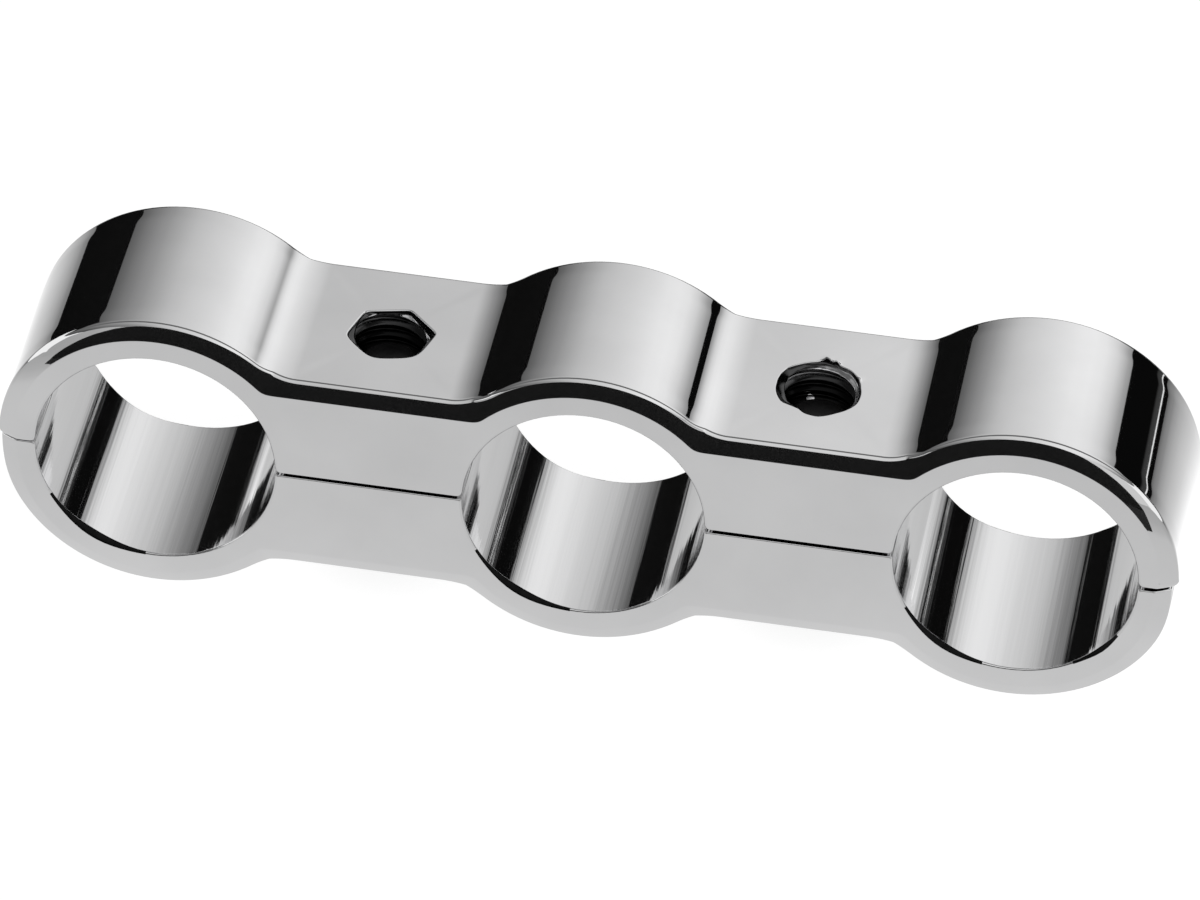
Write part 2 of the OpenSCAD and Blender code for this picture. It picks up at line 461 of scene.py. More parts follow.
def shell_of(end_round, bore_round, short, scraped):
    """Grid of points, rows by columns by three, the kinds of the columns, and which have a mouth painted near
    black.

    The front rows come from the profiles. The wall rows lie evenly between the last front row and its mirror,
    each at the shoulder's drop for its own depth. short is how much less the two ends of this half reach out
    than the other's, fading upwards. A mouth larger than its limit is painted near black, a painted shade.
    """
    outer = outer_columns(end_round + END_CLEAR)
    inner = inner_columns(bore_round)
    profiles = np.stack([outer_profile(o) for o in outer[:, 4]], axis=1)
    bore_offset, bore_depth = inner_profiles(EDGE_ROWS, wall_start, mouth_sizes(inner, scraped))

    def row_of(outer_offset, outer_depth, outer_row, inner_row, raised):
        x, z = place_outer(outer, outer_offset + shoulder(outer_depth))
        x, z = soften_corners(outer, x, z, np.clip((outer_offset - outer[:, 4]) / SOFT_FROM, 0, 1))
        at_end = (np.abs(x) > pitch) & (outer[:, 0] == RING)
        taken = np.where(x < 0, *short) * np.exp(-((z / SHORT_REACH) ** 2))
        x = np.where(at_end, x - np.sign(x) * taken, x)
        part = place_inner(inner, end_round, bore_round, outer_row, inner_row, short, raised)
        x, depth, z = (np.concatenate(pair) for pair in zip((x, outer_depth, z), part))
        return np.stack([x, depth - half_depth, z], axis=1)

    front = []
    for row in range(EDGE_ROWS):
        offset, depth = profiles[row].T
        front.append(row_of(offset, depth, plain_profile[row], (bore_offset[row], bore_depth[row]),
                            BESIDE if row == 0 else 0.0))
    last_depth = profiles[-1][:, 1]
    half = []
    for share in np.arange(1, WALL_STEPS // 2 + 1) / (WALL_STEPS // 2):
        outer_depth = last_depth + (half_depth - last_depth) * share
        inner_depth = bore_depth[-1] + (half_depth - bore_depth[-1]) * share
        plain_depth = wall_start + (half_depth - wall_start) * share
        half.append(row_of(outer[:, 4], outer_depth, (0.0, plain_depth), (bore_offset[-1], inner_depth), 0.0))
    near = np.array(front + half)
    far = near[-2::-1] * np.array([1, -1, 1])
    kinds = np.concatenate([outer[:, 0], inner[:, 0]])
    painted_dark = np.concatenate([0 * outer[:, 0], mouth_sizes(inner, scraped)]) > PAINTED_DARK_FROM
    return np.concatenate([near, far]), kinds, painted_dark


def web_rectangles(kinds):
    """First columns of the open rectangles: two on the webs, and two on the parting plane below them."""
    is_web = np.flatnonzero((kinds == WEB) & (np.roll(kinds, 1) != WEB))
    is_seat = np.flatnonzero((kinds == SEAT) & (np.roll(kinds, 1) != SEAT)) - 1
    return {"left": (is_web[0], is_seat[1]), "right": (is_web[1], is_seat[0])}


upper_shell, upper_kinds, upper_painted_dark = shell_of(
    end_round=0.35, bore_round=0.3, short=(0.0, 0.0), scraped=False)
print("upper half:", upper_shell.shape[0], "rows of", upper_shell.shape[1], "columns")
print("rectangles:", web_rectangles(upper_kinds))

# %% [markdown]
# ## Round the rectangle, into the hole
#
# A hole in a grid is easiest as a second grid: it starts on the edge of the rectangle above, shrinks
# to the mouth, goes down the hole, and grows again to the rectangle below. Each point of the rectangle
# gets one angle round the hole, in even steps.

# %% From the edge of a rectangle to a ring of points
HOLE_COLUMNS = 2 * (WEB_STEPS + WALL_STEPS)
START_ANGLE = np.radians(232.5)
hole_angle = START_ANGLE + np.arange(HOLE_COLUMNS) * 2 * np.pi / HOLE_COLUMNS


def rectangle_edge(first_column, column_step, columns_in_row):
    """Indices of the shell's points round a rectangle, in the order of the hole's angles."""
    row_0 = EDGE_ROWS - 1
    rows = row_0 + np.arange(WALL_STEPS + 1)
    cols = first_column + column_step * np.arange(WEB_STEPS + 1)
    left, right = cols[0], cols[-1]
    path = [(row_0, c) for c in cols[:-1]]
    path += [(r, right) for r in rows[:-1]]
    path += [(rows[-1], c) for c in cols[:0:-1]]
    path += [(r, left) for r in rows[:0:-1]]
    return np.array([r * columns_in_row + c for r, c in path])


def ring_points(x_of_hole, radius, height):
    """A ring of points about the hole's axis. Radius and height may change with the angle."""
    radius, height = np.broadcast_arrays(radius, height, hole_angle)[:2]
    return np.stack([x_of_hole + radius * np.cos(hole_angle), radius * np.sin(hole_angle), height], axis=1)


def between(start, end, shares):
    """Rings of points on straight lines from a start ring to an end ring, at the given shares."""
    return [start + (end - start) * share for share in shares]


print(HOLE_COLUMNS, "columns round a hole, one each", 360 / HOLE_COLUMNS, "degrees")

# %% [markdown]
# ## The thread
#
# A tapped hole shows its thread as bright crests over dark valleys. The thread is a ridge that climbs
# one pitch in each turn: the height, less the climb for the angle, counted in pitches. Where that
# number is whole, there is a crest. The ridge has a flat top, sloping sides and a flat valley. It is
# real geometry here, because the first turns can be counted in the picture.
#
# The left hole has a six-sided mouth, where someone drove in the wrong tool: it is turned a little and
# sits nearer to the front than the thread. The right one is worn out of round, with a step on the near
# side and burrs on the far one.

# %% The thread as a field of height and angle
PITCH = 0.79375
CREST_R = 2.05
VALLEY_R = 2.415
FIRST_CREST = {"left": 0.2, "right": 0.12}
FIRST_ANGLE = np.radians(170)
RIDGE_FOOT, RIDGE_FLANK = 0.38, 0.32


def ridge(angle, height, first_crest):
    """How much of the ridge is there, from 0 in the valley to 1 on the crest.

    The turn number is the height over the first crest, less the climb for the angle, in pitches. Its
    distance from the nearest whole number gives the trapezoid of the thread: nothing beyond half the
    foot, and all of it once the flank is climbed.
    """
    around = np.mod(angle - FIRST_ANGLE + np.pi, 2 * np.pi) - np.pi
    climb = first_crest - PITCH * around / (2 * np.pi)
    turn = (web_rise - height - climb) / PITCH
    away = np.abs(turn - np.round(turn))
    return np.clip((RIDGE_FOOT - away) / RIDGE_FLANK, 0, 1)


def hexagon(angle, across_corners, turn=0.0, shift=(0.0, 0.0), power=60):
    """Radius of a six-sided mouth, by the angle at which it is seen from the hole's axis.

    A side is a line at its own distance from the axis, and it is met at that distance over the cosine
    of the angle to its normal. The nearest side counts. Adding up high powers of the six reciprocals
    gives nearly the same, but with soft corners: the lower the power, the softer.
    """
    normal = turn + np.pi / 6 + np.arange(6) * np.pi / 3
    distance = across_corners / 2 * np.cos(np.pi / 6) + shift[0] * np.cos(normal) + shift[1] * np.sin(normal)
    nearness = np.clip(np.cos(angle[:, None] - normal), 0, 1) / distance
    return (nearness ** power).sum(axis=1) ** (-1 / power)


WORN_ANGLES = (10, 30, 52, 65, 80, 94, 105, 128, 146, 166, 183, 201, 223, 236, 248, 258, 275, 298, 332, 348)
WORN_RADII = (2.33, 2.40, 2.46, 2.40, 2.52, 2.55, 2.42, 2.44, 2.55, 2.52,
              2.52, 2.62, 2.72, 2.52, 2.48, 2.72, 2.83, 2.60, 2.56, 2.44)


def worn_mouth(angle):
    """Radius of the worn mouth, drawn through measured places and smoothed over its neighbours."""
    radius = np.interp(np.degrees(angle), WORN_ANGLES, WORN_RADII, period=360)
    return (np.roll(radius, 1) + 2 * radius + np.roll(radius, -1)) / 4


half_a_pitch = web_rise - np.linspace(0, PITCH / 2, 5)
print("ridge over half a pitch:", ridge(FIRST_ANGLE, half_a_pitch, 0.0).round(2))

# %% The two tapped holes
TOP_SHARES, BOTTOM_SHARES = (0.3, 0.6, 0.85, 1.0), (0.3, 0.65)
RIM_STEPS = 5
RIM_FLAT = 0.16
BURR_FOOT = 0.3
FINE_STEP, FINE_UNTIL, COARSE_STEP = 0.04, 3.4, 0.09
RELIEF_EDGE, RELIEF_SHELF = 0.03, 0.1
FADE_START, FADE_LENGTH = 0.2, 0.12
LOWER_BREAK, LOWER_FLAT = 0.08, 0.12


def tapped_hole(side, top_edge, bottom_edge, mouth, relief, lean, rim_round, burr):
    """Rings of points from the web's rectangle to the parting plane's, with the thread between.

    The rim is a quarter circle. Below it, down to the relief's depth at each angle, the wall goes in
    from the mouth towards the crests by the share lean. Further down the radius is the valley's, less
    the ridge, which begins a little above the relief. burr lifts the rim at its angles.
    """
    def ring(radius, height):
        return ring_points(-screw_x if side == "left" else screw_x, radius, height)

    rings = between(top_edge, ring(mouth + rim_round + RIM_FLAT, web_rise), TOP_SHARES)
    rings.append(ring(mouth + rim_round + BESIDE, web_rise + burr * BURR_FOOT))
    for turn in np.linspace(0, np.pi / 2, RIM_STEPS + 1):
        low = rim_round * (1 - np.cos(turn))
        rings.append(ring(mouth + rim_round * (1 - np.sin(turn)), web_rise - low + burr * np.cos(turn)))
    fine = np.arange(rim_round + BESIDE, FINE_UNTIL, FINE_STEP)
    coarse = np.arange(FINE_UNTIL, web_rise - 0.1, COARSE_STEP)
    for depth in np.concatenate([fine, coarse]):
        opened = 1 / (1 + np.exp((depth - relief) / RELIEF_EDGE))
        down = np.clip((depth - rim_round) / (relief - rim_round), 0, 1)
        leaning = mouth - lean * (mouth - CREST_R - RELIEF_SHELF) * down
        wall = VALLEY_R + (leaning - VALLEY_R) * opened
        fade = np.clip((depth - relief + FADE_START) / FADE_LENGTH, 0, 1)
        height = web_rise - depth
        inwards = ridge(hole_angle, height, FIRST_CREST[side]) * np.maximum(wall - CREST_R, 0) * fade
        rings.append(ring(wall - inwards, height))
    rings.append(ring(VALLEY_R, LOWER_BREAK))
    rings += [ring(VALLEY_R + out, 0.0) for out in (LOWER_BREAK, LOWER_FLAT)]
    return np.array(rings + between(rings[-1], bottom_edge, BOTTOM_SHARES))


# %% [markdown]
# ## The seat of a screw
#
# In the lower half the hole is a pocket for the head, a flat floor that the head bears on, and a plain
# hole for the shank. It is a turned shape, so a list of radii and heights says all of it. Wherever two
# surfaces meet, two or three rings a few hundredths of a millimetre apart break the edge.

# %% The pocket, its floor and the shank's hole
HEAD_HEIGHT = 4.83
HEAD_SINK = 0.1
SEAT_FLOOR = web_rise - HEAD_HEIGHT - HEAD_SINK
POCKET_R = 4.06
SHANK_R = VALLEY_R + 0.15
POCKET_SHARES = (0.35, 0.7)


def screw_seat(x_of_hole, top_edge, bottom_edge):
    """Rings from the lower web's rectangle up the pocket of the head, over its floor and out above.

    Made for a half that is still upright, so that the mirror that turns it over does all of it.
    """
    mouth = [(POCKET_R + 0.15, web_rise), (POCKET_R + 0.1, web_rise), (POCKET_R + 0.03, web_rise - 0.02),
             (POCKET_R, web_rise - 0.08), (POCKET_R, web_rise - 0.12)]
    pocket = [(POCKET_R, h) for h in np.linspace(web_rise - 0.5, SEAT_FLOOR + 0.3, 10)]
    corner = [(POCKET_R, SEAT_FLOOR + 0.04), (POCKET_R - 0.04, SEAT_FLOOR)]
    floor = [(r, SEAT_FLOOR) for r in np.linspace(POCKET_R - 0.1, SHANK_R + 0.12, 5)]
    edge = [(SHANK_R + 0.06, SEAT_FLOOR), (SHANK_R, SEAT_FLOOR - 0.06), (SHANK_R, SEAT_FLOOR - 0.1)]
    shank = [(SHANK_R, h) for h in np.linspace(SEAT_FLOOR - 0.4, 0.15, 5)]
    way_out = [(SHANK_R, 0.1), (SHANK_R + 0.06, 0.0), (SHANK_R + 0.12, 0.0)]
    steps = mouth + pocket + corner + floor + edge + shank + way_out
    rings = [ring_points(x_of_hole, radius, height) for radius, height in steps]
    above, below = between(top_edge, rings[0], POCKET_SHARES), between(rings[-1], bottom_edge, BOTTOM_SHARES)
    return np.array(above + rings + below)


print(f"the pocket's floor is {SEAT_FLOOR:.2f} mm from the parting plane")

# %% [markdown]
# ## Grid to mesh
#
# A grid becomes faces by joining each point to its right neighbour and to the row behind. The whole
# half is one closed skin, so the sides that face outwards can be found by the mesh itself, and a
# count of the edges that don't have exactly two faces shows whether it is really closed.

# %% Faces of a grid, and a closed mesh from points
MERGE_WITHIN = 0.002


def tube_faces(rows, columns, start=0):
    """Four indices for each cell of a grid whose last column joins its first."""
    first = start + np.arange(rows - 1)[:, None] * columns + np.arange(columns)[None, :]
    right = start + np.arange(rows - 1)[:, None] * columns + (np.arange(columns)[None, :] + 1) % columns
    return np.stack([first, right, right + columns, first + columns], axis=-1)


def closed_mesh(name, points, faces, finish_of_face, finishes):
    """A mesh from points in millimetres, with smooth shading, outward faces and one finish a face."""
    mesh = bpy.data.meshes.new(name)
    mesh.from_pydata((points * MM).tolist(), [], faces)
    mesh.polygons.foreach_set("material_index", np.array(finish_of_face, np.int32))
    mesh.polygons.foreach_set("use_smooth", np.ones(len(faces), bool))
    work = bmesh.new()
    work.from_mesh(mesh)
    bmesh.ops.remove_doubles(work, verts=work.verts, dist=MERGE_WITHIN * MM)
    loose = [v for v in work.verts if not v.link_faces]
    bmesh.ops.delete(work, geom=loose, context="VERTS")
    bmesh.ops.recalc_face_normals(work, faces=work.faces)
    open_edges = sum(not e.is_manifold for e in work.edges)
    volume = work.calc_volume(signed=True) / MM ** 3
    work.to_mesh(mesh)
    work.free()
    for finish in finishes:
        mesh.materials.append(finish)
    piece = bpy.data.objects.new(name, mesh)
    bpy.context.scene.collection.objects.link(piece)
    corners = sum(len(p.vertices) - 2 for p in mesh.polygons)
    print(f"{name}: {corners} triangles, {open_edges} open edges, {volume:.0f} cubic mm")
    return piece


POLISHED, BORED, THREADED, DARK_PAINTED_MOUTH = 0, 1, 2, 3
POLISHED_ABOVE = 5 + RIM_STEPS
POLISHED_BELOW = 3


def half_piece(name, shell, kinds, painted_dark, holes, upside, finishes):
    """One half: the shell's tube, its two end faces, and the grids of its two holes.

    Cells inside the rectangles are left out. Each hole's grid starts and ends on the points of the
    shell round its rectangles, so nothing has to be sewn. The first rows of a hole and the last few
    are still the polished web and parting plane. upside is -1 for the half that hangs down.
    """
    rows, columns = shell.shape[:2]
    points = [shell.reshape(-1, 3)]
    cells = tube_faces(rows, columns)
    keep = np.ones(cells.shape[:2], bool)
    wall = slice(EDGE_ROWS - 1, EDGE_ROWS - 1 + WALL_STEPS)
    finish = np.full(cells.shape[:2], POLISHED)
    finish[:, (kinds == BORE) | (kinds == CORNER)] = BORED
    # The scraped mouths get a near-black finish: painted shade.
    finish[1:MOUTH_ROWS, painted_dark] = DARK_PAINTED_MOUTH
    finish[-MOUTH_ROWS:-1, painted_dark] = DARK_PAINTED_MOUTH
    count = rows * columns
    hole_faces, hole_finish = [], []
    for side, (top, below) in web_rectangles(kinds).items():
        keep[wall, top:top + WEB_STEPS] = False
        keep[wall, below:below + WEB_STEPS] = False
        top_edge = rectangle_edge(top, 1, columns)
        bottom_edge = rectangle_edge(below + WEB_STEPS, -1, columns)
        rings = holes[side](points[0][top_edge], points[0][bottom_edge])
        inner = count + np.arange(rings.shape[0] * HOLE_COLUMNS).reshape(-1, HOLE_COLUMNS)
        index = np.vstack([top_edge, inner, bottom_edge])
        beyond = np.roll(index, -1, axis=1)
        quads = np.stack([index[:-1], beyond[:-1], beyond[1:], index[1:]], axis=-1).reshape(-1, 4)
        hole_faces += quads.tolist()
        finish_of_row = np.full(index.shape[0] - 1, THREADED)
        finish_of_row[:POLISHED_ABOVE] = POLISHED
        finish_of_row[-POLISHED_BELOW:] = POLISHED
        hole_finish += np.repeat(finish_of_row, HOLE_COLUMNS).tolist()
        points.append(rings.reshape(-1, 3))
        count += rings.shape[0] * HOLE_COLUMNS
    faces = cells[keep].tolist() + hole_faces
    finish_of_face = finish[keep].tolist() + hole_finish
    last = (rows - 1) * columns
    faces += [list(range(columns - 1, -1, -1)), list(range(last, last + columns))]
    finish_of_face += [POLISHED, POLISHED]
    everything = np.vstack(points) * np.array([1, 1, upside])
    return closed_mesh(name, everything, faces, finish_of_face, finishes)


# %% [markdown]
# ## The finishes
#
# Chrome is a metal with almost no roughness, so its own colour is quiet and the detail is in small
# departures from a perfect mirror: a slow unevenness from the buffing wheel, hair-fine marks, a few
# specks of dust. All patterns are measured in the object's own space, so they stay on the metal when
# a half is lifted.

# %% A small helper for chains of shader nodes
# A Mix node keeps sockets for numbers, vectors and colours. These are the places of the colour ones.
MIX_A, MIX_B, MIX_RESULT = 6, 7, 2


def new_finish(name):
    """An empty node material with its shader. Returns the material, its nodes, a linker, the shader."""
    finish = bpy.data.materials.new(name)
    finish.use_nodes = True
    tree = finish.node_tree
    shader = tree.nodes["Principled BSDF"]

    def add(kind, inputs=None, **settings):
        node = tree.nodes.new(kind)
        for key, value in settings.items():
            setattr(node, key, value)
        for key, value in (inputs or {}).items():
            if isinstance(value, bpy.types.NodeSocket):
                tree.links.new(value, node.inputs[key])
            else:
                node.inputs[key].default_value = value
        return node

    return finish, add, tree.links.new, shader


def stretched(add, scale_xyz):
    """Object coordinates, stretched: a small number along an axis draws the pattern out along it."""
    place = add("ShaderNodeTexCoord").outputs["Object"]
    return add("ShaderNodeMapping", {"Vector": place, "Scale": scale_xyz}).outputs["Vector"]


def two_way(add, factor, low, high):
    """A number that follows a 0 to 1 pattern from low to high."""
    return add("ShaderNodeMapRange", {"Value": factor, "To Min": low, "To Max": high}).outputs["Result"]


def fill_ramp(ramp, stops):
    """Grey stops, as place and brightness, in a colour ramp."""
    ramp.interpolation = "LINEAR"
    while len(ramp.elements) > 1:
        ramp.elements.remove(ramp.elements[-1])
    for index, (place, value) in enumerate(stops):
        stop = ramp.elements[0] if index == 0 else ramp.elements.new(place)
        stop.position = place
        stop.color = (value, value, value, 1)


def by_length(add, length, first, last, stops):
    """Grey stops at lengths in millimetres, as a colour that follows a length of the scene."""
    share = add("ShaderNodeMapRange", {"Value": length, "From Min": first * MM, "From Max": last * MM})
    ramp = add("ShaderNodeValToRGB", {"Fac": share.outputs["Result"]})
    fill_ramp(ramp.color_ramp, [((place - first) / (last - first), value) for place, value in stops])
    return ramp.outputs["Color"]


def noise(add, stretch, scale, detail):
    """Noise from 0 to 1 over the object's own space, whose axes are multiplied by stretch first."""
    made = add("ShaderNodeTexNoise", {"Vector": stretched(add, stretch), "Scale": scale, "Detail": detail})
    return made.outputs["Fac"]


def two_tones(add, factor, dark, light, first=0.0, last=1.0):
    """A colour from a dark to a light one, as the factor goes from first to last."""
    ramp = add("ShaderNodeValToRGB", {"Fac": factor})
    for stop, place, colour in zip(ramp.color_ramp.elements, (first, last), (dark, light)):
        stop.position = place
        stop.color = (*colour, 1)
    return ramp.outputs["Color"]


def bump(add, height, strength, depth, below=None):
    """A normal that tilts with a height between 0 and 1, which stands for up to depth millimetres."""
    sockets = {"Height": height, "Strength": strength, "Distance": depth * MM}
    if below is not None:
        sockets["Normal"] = below
    return add("ShaderNodeBump", sockets).outputs["Normal"]


# %% [markdown]
# ### Polished chrome
#
# The outer walls, webs and end faces. The buffing marks run along the bar on the end faces and round
# the rings on the walls, so a noise stretched ten times along X stands for both. The specks are the
# cells of a second pattern: about one cell in four has one, a quarter of a millimetre wide.

# %% Polished chrome
SPECK_CELLS = 210.0
SPECK_RADIUS = 0.028
SPECK_RARITY = 0.72


def polished_chrome():
    """A mirror with slow waves, fine hairs and dark specks, whose size is in shares of a cell."""
    finish, add, link, shader = new_finish("polished_chrome")
    shader.inputs["Metallic"].default_value = 1.0
    slow = noise(add, (1, 1, 1), 130.0, 6.0)
    hairs = noise(add, (90, 900, 900), 6.0, 4.0)
    cells = add("ShaderNodeTexVoronoi", {"Vector": stretched(add, (1, 1, 1)), "Scale": SPECK_CELLS})
    near = add("ShaderNodeMath", {0: cells.outputs["Distance"], 1: SPECK_RADIUS}, operation="LESS_THAN")
    pick = add("ShaderNodeSeparateColor", {"Color": cells.outputs["Color"]})
    chosen = add("ShaderNodeMath", {0: pick.outputs["Red"], 1: SPECK_RARITY}, operation="GREATER_THAN")
    speck = add("ShaderNodeMath", {0: near.outputs[0], 1: chosen.outputs[0]}, operation="MULTIPLY")
    tone = two_tones(add, slow, (0.825, 0.825, 0.83), (0.895, 0.895, 0.9), 0.32, 0.68)
    colour = add("ShaderNodeMix", {0: speck.outputs[0], MIX_A: tone, MIX_B: (0.33, 0.33, 0.34, 1)},
                 data_type="RGBA")
    link(colour.outputs[MIX_RESULT], shader.inputs["Base Color"])
    link(two_way(add, hairs, 0.015, 0.05), shader.inputs["Roughness"])
    wave = bump(add, slow, 0.05, 0.04)
    link(bump(add, hairs, 0.05, 0.004, wave), shader.inputs["Normal"])
    return finish


# %% [markdown]
# ### The bored walls
#
# The bores were cut with a tool that went through along the hoses and were plated without much
# polishing, so fine lines run from end to end. They are drawn by a noise that is stretched about a
# hundred times along Y and bent into the surface, with a second, coarser one for the wider streaks.

# %% Bored chrome


def bored_chrome():
    """The same plate with streaks along Y."""
    finish, add, link, shader = new_finish("bored_chrome")
    shader.inputs["Metallic"].default_value = 1.0
    fine = noise(add, (1, 0.012, 1), 3800.0, 3.0)
    coarse = noise(add, (1, 0.01, 1), 900.0, 2.0)
    link(two_tones(add, coarse, (0.79, 0.79, 0.795), (0.88, 0.88, 0.885)), shader.inputs["Base Color"])
    link(two_way(add, fine, 0.03, 0.11), shader.inputs["Roughness"])
    wide = bump(add, coarse, 0.65, 0.03)
    link(bump(add, fine, 0.8, 0.01, wide), shader.inputs["Normal"])
    return finish


# %% [markdown]
# ### Threads and screws
#
# Inside the holes the plate is thin and dull. A ramp over the height in the hole darkens its tone as a
# painted shade: the walls of the mouths dark grey, the first turn of the thread at full tone, and below it
# nearly black, darkest at the bottom. One small place deep in the right hole keeps the full tone as a painted
# glint. The screws are steel with a black oxide skin: dark, a little rough, lighter where it has rubbed.
# Where a scraper broke the lower edges of the bores, the metal is painted nearly black, a painted shade.

# %% Thread metal, black oxide and the scraped edges
# Painted shade: the tone of the metal in the holes by height, darker deeper down.
SHADE_FROM, SHADE_TO = 5.0, 6.7
PAINTED_SHADE_BY_HEIGHT = [(5.0, 0.012), (5.35, 0.02), (5.5, 0.05), (5.72, 0.07), (5.8, 0.03),
                   (5.95, 0.2), (6.1, 0.9), (6.46, 1.0), (6.5, 0.12), (6.7, 0.10)]
# Painted highlight: a small sphere deep in the right hole where the tone stays full, so that it glints.
PAINTED_GLINT = (11.93, 2.08, 4.2)
PAINTED_GLINT_RADIUS = 0.24


def thread_metal():
    """Dull metal, its tone multiplied by a painted shade that darkens down the hole, or by one within the
    painted glint.
    """
    finish, add, link, shader = new_finish("thread_metal")
    shader.inputs["Metallic"].default_value = 1.0
    film = noise(add, (1, 1, 2), 1500.0, 3.0)
    tone = two_tones(add, film, (0.52, 0.52, 0.53), (0.86, 0.86, 0.87))
    place = add("ShaderNodeTexCoord").outputs["Object"]
    height = add("ShaderNodeSeparateXYZ", {"Vector": place}).outputs["Z"]
    # Painted shade: the tone darkens down the hole, by the ramp of heights above.
    painted_shade = by_length(add, height, SHADE_FROM, SHADE_TO, PAINTED_SHADE_BY_HEIGHT)
    from_glint = add("ShaderNodeVectorMath", {0: place, 1: [v * MM for v in PAINTED_GLINT]}, operation="DISTANCE")
    # Painted highlight: full tone within the glint's sphere.
    painted_glint = add("ShaderNodeMath", {0: from_glint.outputs["Value"], 1: PAINTED_GLINT_RADIUS * MM},
                operation="LESS_THAN")
    painted_shade_and_glint = add("ShaderNodeMix", {0: painted_glint.outputs[0], MIX_A: painted_shade, MIX_B: (1, 1, 1, 1)}, data_type="RGBA")
    colour = add("ShaderNodeMix", {0: 1.0, MIX_A: tone, MIX_B: painted_shade_and_glint.outputs[MIX_RESULT]},
                 data_type="RGBA", blend_type="MULTIPLY")
    link(colour.outputs[MIX_RESULT], shader.inputs["Base Color"])
    link(two_way(add, film, 0.08, 0.24), shader.inputs["Roughness"])
    link(bump(add, film, 0.3, 0.01), shader.inputs["Normal"])
    return finish


def black_oxide():
    """Dark steel whose skin is lighter and rougher by the same noise."""
    finish, add, link, shader = new_finish("black_oxide")
    shader.inputs["Metallic"].default_value = 0.75
    rub = noise(add, (1, 1, 1), 700.0, 5.0)
    link(two_tones(add, rub, (0.02, 0.02, 0.022), (0.085, 0.083, 0.082)), shader.inputs["Base Color"])
    link(two_way(add, rub, 0.28, 0.5), shader.inputs["Roughness"])
    link(bump(add, rub, 0.2, 0.02), shader.inputs["Normal"])
    return finish


# Painted shade: a near-black finish for the scraped mouths of the bores.
def painted_dark_mouth():
    """Near-black painted shade on the scraped mouths, with the chatter of the scraper in it."""
    finish, add, link, shader = new_finish("painted_dark_mouth")
    shader.inputs["Metallic"].default_value = 1.0
    chatter = noise(add, (1, 0.3, 1), 2600.0, 3.0)
    tone = two_tones(add, chatter, (0.004, 0.004, 0.004), (0.018, 0.018, 0.018), last=0.75)
    link(tone, shader.inputs["Base Color"])
    link(two_way(add, chatter, 0.3, 0.5), shader.inputs["Roughness"])
    return finish


plate_finishes = [polished_chrome(), bored_chrome(), thread_metal(), painted_dark_mouth()]
oxide = black_oxide()
print("finishes:", [f.name for f in plate_finishes] + [oxide.name])

# %% [markdown]
# ## The upper half
#
# The piece that shows most. Its left hole gets the six-sided mouth and its right one the worn mouth,
# with small burrs thrown up on the far rim.

# %% The upper half
RELIEF_TURN = np.radians(14)
RELIEF_SHIFT = (0.07, -0.32)
RELIEF_ACROSS = 5.3
# Each burr: its height, its angle on the rim and its width in degrees.
BURRS = ((0.30, 89, 5), (0.20, 76, 4), (0.08, 30, 4))
crisp, worn = (hexagon(hole_angle, RELIEF_ACROSS, RELIEF_TURN, RELIEF_SHIFT, power) for power in (24, 9))
near_side = np.clip(-1.5 * np.sin(hole_angle), 0, 1)
six_sided = crisp + (worn - crisp) * near_side
burr = sum(height * bump_at(hole_angle, angle, width) for height, angle, width in BURRS)


def around_hole(angles, values):
    """Values at the hole's angles, drawn straight between a few given ones."""
    return np.interp(np.degrees(hole_angle), angles, values, period=360)


left_relief = around_hole((10, 45, 90, 150, 200, 330), (0.75, 0.70, 0.46, 0.26, 0.30, 0.60))
left_lean = around_hole((0, 65, 78, 160, 190, 300), (0.85, 0.85, 0.15, 0.15, 0.6, 0.7))
right_relief = around_hole((10, 45, 90, 130, 160, 210, 330), (0.50, 0.48, 0.36, 0.22, 0.16, 0.20, 0.40))
right_lean = around_hole((0, 65, 85, 150, 190, 300), (0.7, 0.7, 0.3, 0.1, 0.1, 0.5))
upper_holes = {
    "left": lambda top, below: tapped_hole(
        "left", top, below, six_sided, left_relief, left_lean, rim_round=0.1, burr=0.0),
    "right": lambda top, below: tapped_hole(
        "right", top, below, worn_mouth(hole_angle), right_relief, right_lean, rim_round=0.06, burr=burr),
}
upper = half_piece("upper_half_skin", upper_shell, upper_kinds, upper_painted_dark, upper_holes, 1, plate_finishes)
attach(upper, "upper_half")
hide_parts("upper_half")

# %% [markdown]
# ## The lower half
#
# The same outline turned over. Its ends reach out less than those of the upper half, most at the right,
# and its corners are sharper, so that the seam shows a small step there. Its holes are the pockets for
# the screw heads.

# %% The lower half
lower_shell, lower_kinds, lower_painted_dark = shell_of(
    end_round=0.14, bore_round=0.14, short=(0.2, 0.36), scraped=True)
lower_holes = {
    "left": lambda top, below: screw_seat(-screw_x, top, below),
    "right": lambda top, below: screw_seat(screw_x, top, below),
}
lower = half_piece("lower_half_skin", lower_shell, lower_kinds, lower_painted_dark, lower_holes, -1, plate_finishes)
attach(lower, "lower_half")
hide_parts("lower_half")

# %% [markdown]
# ## The screws
#
# Each is a profile turned about its own axis, with three departures from round: the thread, which is the same
# field as in the hole, half a pitch further on, so that its ridges lie in the hole's valleys; the fine flutes
# round the head, for fingers; and the hexagon of the socket.

# %% The screws
SCREW_COLUMNS = 144
HEAD_TOP = -SEAT_FLOOR
BEARING = HEAD_TOP - 0.01
HEAD_LOW = HEAD_TOP - HEAD_HEIGHT
UNDER_HEAD = 6.35
TIP = HEAD_TOP + UNDER_HEAD
POINT = 0.0005
CORE_R, CREST_RISE, PLAY = 1.99, 0.385, 0.12
THREAD_RINGS = 96
HEAD_R, FLUTES, FLUTE_DEPTH = 3.95, 36, 0.07
SOCKET_FLATS = 3.97
screw_angle = np.arange(SCREW_COLUMNS) * 2 * np.pi / SCREW_COLUMNS


